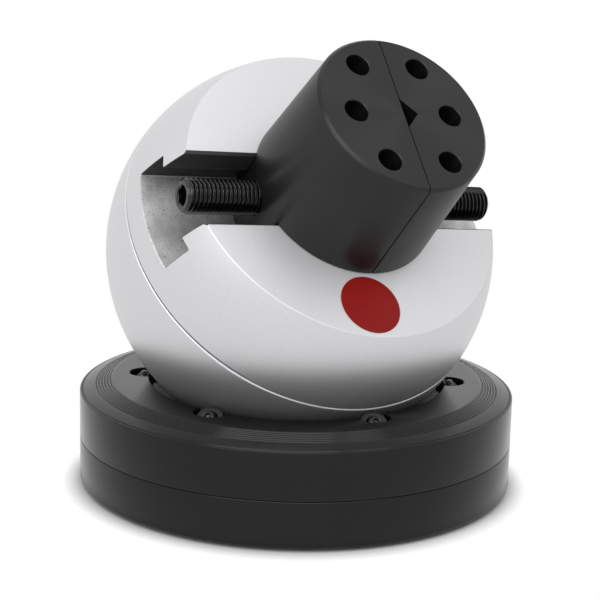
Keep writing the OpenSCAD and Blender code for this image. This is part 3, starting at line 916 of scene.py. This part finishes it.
def spaced(profile, step):
    """Add points along a closed profile's long sides, no more than a step apart."""
    ends = np.roll(profile, -1, axis=0)
    count = np.ceil(np.linalg.norm(ends - profile, axis=1) / step).astype(int)
    owner = np.repeat(np.arange(len(profile)), count)
    first = np.repeat(np.cumsum(count) - count, count)
    part = ((np.arange(len(owner)) - first) / count[owner])[:, None]
    return profile[owner] * (1 - part) + ends[owner] * part


def right_normals(outline):
    """Unit directions to the right of a closed outline's run, at each of its points."""
    ahead = np.roll(outline, -1, axis=0) - np.roll(outline, 1, axis=0)
    across = np.stack([ahead[:, 1], -ahead[:, 0]], axis=1)
    return across / np.linalg.norm(across, axis=1, keepdims=True)


def capped(rows, ends):
    """Close a stack of rows with its two end points, each repeated as a row of its own."""
    caps = [np.tile(end, (len(rows[0]), 1)) for end in ends]
    return np.stack([caps[0], *rows, caps[1]])


def mirrored(half):
    """The other half of a profile that is the same on both sides, in the order it runs."""
    return [(-across, up, bend) for across, up, bend in reversed(half)]


above = 1.5
section_step = 1.2
lip_top = flat_height + above
half_profile = [
    (slot_half + slot_bevel + above, lip_top, 0),
    (slot_half, flat_height - slot_bevel, lip_round),
    (slot_half, lip_under, lip_round),
    (tee_half, lip_under, 0.3),
    (tee_half, slot_floor, 0.5),
]
section = spaced(rounded(half_profile + mirrored(half_profile), closed=True), section_step)
middle_up = lip_under - 1
outward = right_normals(section)
outward *= np.sign((outward * (section - (0, middle_up))).sum())
# Half the slot's length at each point of the section, where the ball's surface ends it.
reach = np.sqrt(ball_r**2 - np.minimum((section**2).sum(axis=1), ball_r**2 - 30**2))[:, None]
far_end = ball_r + 3
steps_along = [-far_end + 0 * reach, -reach - slot_edge, slot_edge - reach]
steps_along += [reach - slot_edge, reach + slot_edge, far_end + 0 * reach]
flare = [2 * slot_edge, 2 * slot_edge, 0, 0, 2 * slot_edge, 2 * slot_edge]
rows = [
    np.concatenate([along, section + outward * wide], axis=1)
    for along, wide in zip(steps_along, flare)
]
ends = [(-far_end, 0.0, middle_up), (far_end, 0.0, middle_up)]
tools = [skin("slot_tool", [on_ball(capped(rows, ends))])]
hole = disc(yoke_screw_r, slot_floor - yoke_hole_depth, slot_floor + 2, 32)
for side in (-1, 1):
    tools.append(skin("yoke_screw_hole", [on_ball(hole + (0, side * yoke_screw_y, 0))]))
carve(upper_ball, tools, satin, inside=milled)
finish_piece(upper_ball, "head", "ball_steel", satin, "upper_ball")

# ---------------------------------------------------------------- thrust bearing
# Sealed between the two parts of the ball: two hardened washers, and twenty needles in a
# brass cage. They only need their own metals, as nothing of them shows.
# Pressed brass: a warm yellow, rubbed a little by the needles.
brass = mottled_metal(
    "pressed_cage_brass", 500.0, 2.0, (0.25, 0.4), None, ["#c2a25c"], Metallic=1.0
)
for name in ("thrust_washer_lower", "thrust_washer_upper", "needles", "pivot_washer"):
    dress_solid(name, bearing_steel)
dress_solid("needle_cage", brass)

# ---------------------------------------------------------------- pivot bolt
# The shoulder bolt that holds the head down on the lower part, under the yoke in the floor
# of the T-slot. Its head is low, with a hexagon socket.
pivot_head_r = 6.5
pivot_head_low = 11.9
pivot_head_high = 15.9
pivot_shoulder_r = 5.0
pivot_thread_r = 4.0
pivot_undercut = 0.4
pivot_thread_top = seam_low - 1.9
pivot_end = -21.4
pivot_hex = 5.0
pivot_hex_depth = 2.4

profile = [
    (mouth_r(pivot_hex), pivot_head_high, 0),
    (pivot_head_r, pivot_head_high, 0.5),
    (pivot_head_r, pivot_head_low, 0.2),
    (pivot_shoulder_r, pivot_head_low, 0.2),
    (pivot_shoulder_r, seam_low, 0.2),
    (pivot_thread_r - pivot_undercut, seam_low, 0.2),
    (pivot_thread_r - pivot_undercut, pivot_thread_top + pivot_undercut, 0.1),
    (pivot_thread_r, pivot_thread_top, 0),
]
thread = (pivot_thread_r, 1.25, pivot_thread_top, pivot_end + 0.5)
bolt_shape = headed_screw(profile, (pivot_hex, pivot_hex_depth), thread)
bolt = skin("pivot_shoulder_bolt", [on_ball(bolt_shape)])
finish_piece(bolt, "ball", "fastener_black", screw_finish, "pivot_bolt")

# ---------------------------------------------------------------- screw yoke
# A steel fork, screwed to the slot's floor under the closed jaws. It holds the plain neck
# of the lead screw, and takes its thrust.
yoke_half_w = 4.0
yoke_half_len = 13.0
yoke_top = 35.7
screw_height = 30.8
neck_r = 4.5
neck_clear = 0.05
yoke_edge = 0.4
yoke_head_r = 2.75
yoke_head_low = 32.4
yoke_head_high = 35.4
yoke_screw_end = 9.7
yoke_hex = 2.5
yoke_hex_depth = 1.8


def arc(centre, radius, start_deg, end_deg, steps):
    """Points on a circle in a profile, as corners with no rounding of their own."""
    turn = np.radians(np.linspace(start_deg, end_deg, steps))
    return np.stack(
        [centre[0] + radius * np.cos(turn), centre[1] + radius * np.sin(turn), 0 * turn], axis=1
    ).tolist()


fork = [
    (yoke_half_len, slot_floor, 0.3),
    (yoke_half_len, yoke_top, 0.6),
    (neck_r + neck_clear, yoke_top, 0.5),
]
fork += arc((0, screw_height), neck_r + neck_clear, 0, -180, 24)
fork += mirrored(fork[:3])
outline = rounded(fork, closed=True)
inward = -right_normals(outline)
layers = [
    (-yoke_half_w, yoke_edge),
    (yoke_edge - yoke_half_w, 0),
    (yoke_half_w - yoke_edge, 0),
    (yoke_half_w, yoke_edge),
]
rows = [
    np.concatenate([np.full((len(outline), 1), along), outline + inward * inset], axis=1)
    for along, inset in layers
]
yoke = skin("screw_yoke_milled", [on_ball(np.stack(rows))], lids=True)
hole_r = yoke_screw_r + 0.15
sink_r = yoke_head_r + 0.15
flare_r = sink_r + 0.6
way = revolve(np.array([
    (0, slot_floor - 1), (hole_r, slot_floor - 1), (hole_r, yoke_head_low),
    (sink_r, yoke_head_low), (sink_r, yoke_top - 0.3), (flare_r, yoke_top + 0.3),
    (flare_r, yoke_top + 1), (0, yoke_top + 1),
]), 48)
tools = [skin("yoke_way", [on_ball(way + (0, side * yoke_screw_y, 0))]) for side in (-1, 1)]
carve(yoke, tools, screw_finish)
finish_piece(yoke, "head", "fastener_black", screw_finish, "screw_yoke")

profile = [
    (mouth_r(yoke_hex), yoke_head_high, 0),
    (yoke_head_r, yoke_head_high, 0.35),
    (yoke_head_r, yoke_head_low, 0.1),
    (yoke_screw_r, yoke_head_low, 0.1),
    (yoke_screw_r, slot_floor + 1, 0),
]
thread = (yoke_screw_r, 0.5, slot_floor + 1, yoke_screw_end + 0.5)
shape = headed_screw(profile, (yoke_hex, yoke_hex_depth), thread, steps=48)
pair = [on_ball(shape + (0, side * yoke_screw_y, 0)) for side in (-1, 1)]
yoke_screws = skin("yoke_socket_screws", pair)
finish_piece(yoke_screws, "head", "fastener_black", screw_finish, "yoke_screws")

# ---------------------------------------------------------------- badge
# A round printed label under clear resin, stuck on the flat below the jaws. It is left bare:
# plain red, slightly domed, with a soft rim.
badge_r = 10.4
badge_place = (-4.0, -43.6)
badge_high = 0.4
badge_dome = 0.08

# Red print under soft clear resin: an even, deep red with a dull gloss.
label_red, tree, place = new_material("red_label_under_resin")
mottle = add(tree, "TexNoise", {"Vector": place, "Scale": 300.0, "Detail": 3.0}, "Fac")
tone = add(
    tree, "Mix", {"Factor": mottle, "A": colour("#850c08"), "B": colour("#8d0f0b")}, "Result",
    data_type="RGBA",
)
shade(label_red, "BsdfPrincipled", {"Base Color": tone, "Roughness": 0.5, "IOR": 1.3})
dome_r = (badge_r**2 + badge_dome**2) / (2 * badge_dome)
dome = np.linspace(0, badge_r - 0.3, 14)
crown = [
    (across, flat_height + badge_high - dome_r + math.sqrt(dome_r**2 - across**2), 0)
    for across in dome
]
profile = crown + [
    (badge_r, flat_height + badge_high - badge_dome, 0.2),
    (badge_r, flat_height + 0.01, 0.05),
    (0, flat_height + 0.01, 0),
]
badge_shape = revolve(rounded(profile), 128) + (*badge_place, 0)
badge = skin("badge_domed", [on_ball(badge_shape)])
finish_piece(badge, "head", "badge_red", label_red, "badge")

# ---------------------------------------------------------------- lead screw
# One blackened screw, with a left-hand thread on its right half and a right-hand thread on
# its left half, so that turning it moves both jaws. Each end has a hexagon socket, and the
# plain neck in the middle sits in the yoke.
lead_r = 5.9
lead_pitch = 1.5
lead_half_len = 57.0
lead_bevel = 1.2
lead_hex = 6.0
lead_hex_depth = 8.0
neck_half = 4.1
neck_slope = 0.8
lead_steps = 72
thread_deep = 0.92
# The thread's depth over one pitch, as a share of its full depth: crest, flank, root, flank.
thread_turn = [0, 0.06, 0.125, 0.18, 0.42, 0.5, 0.62, 0.95, 1]
thread_form = [0.05, 0, 0, 0.05, 0.93, 1, 0.93, 0.12, 0.05]


def lead_half(direction):
    """One half of the screw, from its neck to its socket. Rows follow the helix: each is
    shifted along the axis by the pitch times its share of a turn, and held between the neck
    and the end, where a cone limits the radius."""
    turn = np.linspace(0, 2 * math.pi, lead_steps, endpoint=False)
    shares = np.array([0.0, 0.06, 0.125, 0.18, 0.33, 0.42, 0.56, 0.72, 0.86, 0.95])
    first, last = math.floor(neck_half / lead_pitch) - 1, math.ceil(lead_half_len / lead_pitch) + 1
    pitches = np.arange(first, last)
    row = (pitches[:, None] + shares[None, :]).ravel()[:, None]
    deep = np.interp(row % 1, thread_turn, thread_form)
    along = (row + turn / (2 * math.pi)) * lead_pitch
    along = np.clip(along, neck_half, lead_half_len)
    edge_cone = np.minimum(lead_r, lead_r - (along - (lead_half_len - lead_bevel)))
    neck_cone = neck_r + (along - neck_half) * neck_slope
    radius = np.minimum(np.minimum(lead_r - thread_deep * deep, edge_cone), neck_cone)
    radius = np.where(along <= neck_half, neck_r, radius)
    radius = np.where(along >= lead_half_len, lead_r - lead_bevel, radius)
    side = np.stack([along, radius * np.cos(turn), radius * np.sin(turn)], axis=-1)
    mouth = socket_rows(lead_hex, lead_hex_depth, lead_half_len, turn)[::-1]
    mouth = np.stack([mouth[..., 2], mouth[..., 0], mouth[..., 1]], axis=-1)
    neck = np.stack([0 * turn, neck_r * np.cos(turn), neck_r * np.sin(turn)], axis=-1)[None]
    half = np.concatenate([neck, side, mouth])
    return half * (direction, 1, 1)


# Black oxide over a cut thread, oiled: almost black, with thin glints along the crests.
thread_finish = mottled_metal(
    "blackened_oiled_thread", 350.0, 4.0, (0.12, 0.24), (0.25, 0.00006),
    ["#070708", "#101011"], IOR=1.5,
)
halves = [on_ball(lead_half(side) + (0, 0, screw_height)) for side in (1, -1)]
lead = skin("lead_screw_threaded", halves)
finish_piece(lead, "screw", "screw_black", thread_finish, "lead_screw")

# ---------------------------------------------------------------- jaws
# Each jaw is half of one turned bar, with a T-shaped foot that slides in the slot. The lead
# screw's bore is threaded in the real one, and plain here. Three drilled holes in the face
# take pins, and the right jaw has a V notch down its middle. The faces are left as turned.
jaw_foot_r = 32.0
jaw_top_r = 29.3
jaw_low = 35.9
jaw_face = 78.6
jaw_bevel = 0.9
jaw_gap_half = 0.15
jaw_edge = 0.25
split_edge = 0.18
split_steps = 40
jaw_middle = 8.0
foot_slide = 0.1
foot_inset = 0.1
foot_start = 4.3
foot_rise = 1.2
bore_r = 5.95
pin_r = 4.0
pin_depth = 16.0
pin_lip = 0.25
pin_places = [(17.1, 0.0), (10.9, 18.1), (10.9, -18.1)]
notch_half = 5.5
notch_deep = 5.1
notch_long = 24.0

# Black oxide over lathe marks. The face's rings pull its highlights into soft fans, and the
# marks are drawn 0.4 mm apart, coarser than the real ones.
jaw_black, tree, place = new_material("blackened_turned_jaw")
local = in_ball_frame(tree, place)
from_ball = add(
    tree, "VectorMath", {0: place, 1: head_place}, "Vector", operation="SUBTRACT"
)
lines = add(
    tree, "TexNoise", {"Vector": lathe_rings(tree, local), "Scale": 2500.0, "Detail": 2.0},
    "Fac",
)
haze = add(
    tree, "TexNoise", {"Vector": local, "Scale": 70.0, "Detail": 5.0, "Roughness": 0.6}, "Fac"
)
sheen = add(tree, "MapRange", {"Value": haze, "To Min": 0.26, "To Max": 0.38}, "Result")
tone = add(
    tree, "Mix", {"Factor": haze, "A": colour("#070708"), "B": colour("#0e0e10")}, "Result",
    data_type="RGBA",
)
bump = add(tree, "Bump", {"Height": lines, "Strength": 0.5, "Distance": 0.00006}, "Normal")
shade(jaw_black, "BsdfPrincipled", {
    "Base Color": tone,
    "Roughness": sheen,
    "IOR": 1.43,
    "Anisotropic": 0.8,
    "Anisotropic Rotation": 0.25,
    "Tangent": round_grain(tree, tuple(head_axis.tolist()), from_ball),
    "Normal": bump,
})


def half_round(radius, height, steps=160):
    """A half circle closed by the split's straight side, with the two corners eased. Points
    run round the arc from its lower end, and then back down the straight side."""
    low = math.asin((jaw_gap_half + split_edge) / radius)
    turn = np.linspace(low - math.pi / 2, math.pi / 2 - low, steps)
    curve = np.stack([radius * np.cos(turn), radius * np.sin(turn)], axis=1)
    corner = math.sqrt(radius**2 - jaw_gap_half**2) - split_edge
    side = np.linspace(corner, -corner, split_steps)
    straight = np.stack([np.full(split_steps, jaw_gap_half), side], axis=1)
    outline = np.concatenate([curve, straight])
    return np.concatenate([outline, np.full((len(outline), 1), height)], axis=1)


def jaw_solid(name, side):
    """The half bar: its outline is stacked up the jaw, as wide as the taper and the bevel
    leave it at each height, and closed flat at both ends."""
    taper = (jaw_foot_r - jaw_top_r) / (jaw_face - flat_height)
    bevel_low = jaw_face - jaw_bevel
    levels = [
        (jaw_foot_r - jaw_edge, jaw_low),
        (jaw_foot_r, jaw_low + jaw_edge),
        (jaw_top_r + taper * jaw_bevel + 0.03, bevel_low - 0.12),
        (jaw_top_r + taper * jaw_bevel - 0.1, bevel_low + 0.1),
        (jaw_top_r - jaw_bevel + 0.08, jaw_face - 0.1),
        (jaw_top_r - jaw_bevel - 0.06, jaw_face),
    ]
    rows = [half_round(radius, height) for radius, height in levels]
    ends = [(jaw_middle, 0.0, rows[end][0, 2]) for end in (0, -1)]
    return skin(name, [on_ball(capped(rows, ends) * (side, 1, 1))])


def prism(name, outline, start, end, side):
    """A straight bar along the screw's axis, with an outline across and up."""
    rows = [np.concatenate([np.full((len(outline), 1), x), outline], axis=1) for x in (start, end)]
    ends = [(x, *outline.mean(axis=0)) for x in (start, end)]
    return skin(name, [on_ball(capped(rows, ends) * (side, 1, 1))])


def rod(name, radius, start, end, up, side, steps=96):
    """A round bar along the screw's axis."""
    shape = disc(radius, start, end, steps)
    shape = np.stack([shape[..., 2], shape[..., 0], shape[..., 1] + up], axis=-1)
    return skin(name, [on_ball(shape * (side, 1, 1))])


stem = slot_half - foot_slide
tee = tee_half - foot_slide
half_foot = [
    (-stem, jaw_low + foot_rise, 0),
    (-stem, lip_under - foot_slide, 0.2),
    (-tee, lip_under - foot_slide, 0.4),
    (-tee, slot_floor + foot_slide, 0.4),
]
foot_outline = rounded(half_foot + mirrored(half_foot), closed=True)
trim = on_ball(disc(jaw_foot_r - foot_inset, slot_floor - 2, jaw_low + 3, 256))
hole = revolve(np.array([
    (0, jaw_face - pin_depth - drill_point), (pin_r, jaw_face - pin_depth),
    (pin_r, jaw_face - pin_lip), (pin_r + pin_lip + 1, jaw_face + 1), (0, jaw_face + 1),
]), 96)
notch = np.array([(-0.5, -notch_half - 0.5), (notch_deep, 0), (-0.5, notch_half + 0.5)])
notch_rows = [
    np.concatenate([notch, np.full((3, 1), up)], axis=1)
    for up in (jaw_face - notch_long, jaw_face + 1)
]
for word, side in (("left", -1), ("right", 1)):
    jaw = jaw_solid(word + "_jaw_turned", side)
    foot = prism(word + "_foot", foot_outline, foot_start, jaw_foot_r + 4, side)
    carve(foot, [skin("foot_trim", [trim])], jaw_black, "INTERSECT")
    carve(jaw, [foot], jaw_black, "UNION")
    tools = [rod("screw_bore", bore_r, -1, jaw_foot_r + 4, screw_height, side)]
    for x, y in pin_places:
        tools.append(skin("pin_hole", [on_ball(hole + (side * x, y, 0))]))
    if side > 0:
        notch_grid = capped(notch_rows, [row.mean(axis=0) for row in notch_rows])
        tools.append(skin("notch", [on_ball(notch_grid)]))
    carve(jaw, tools, jaw_black)
    finish_piece(jaw, word + "_jaw", "jaw_black", jaw_black, word + "_jaw")
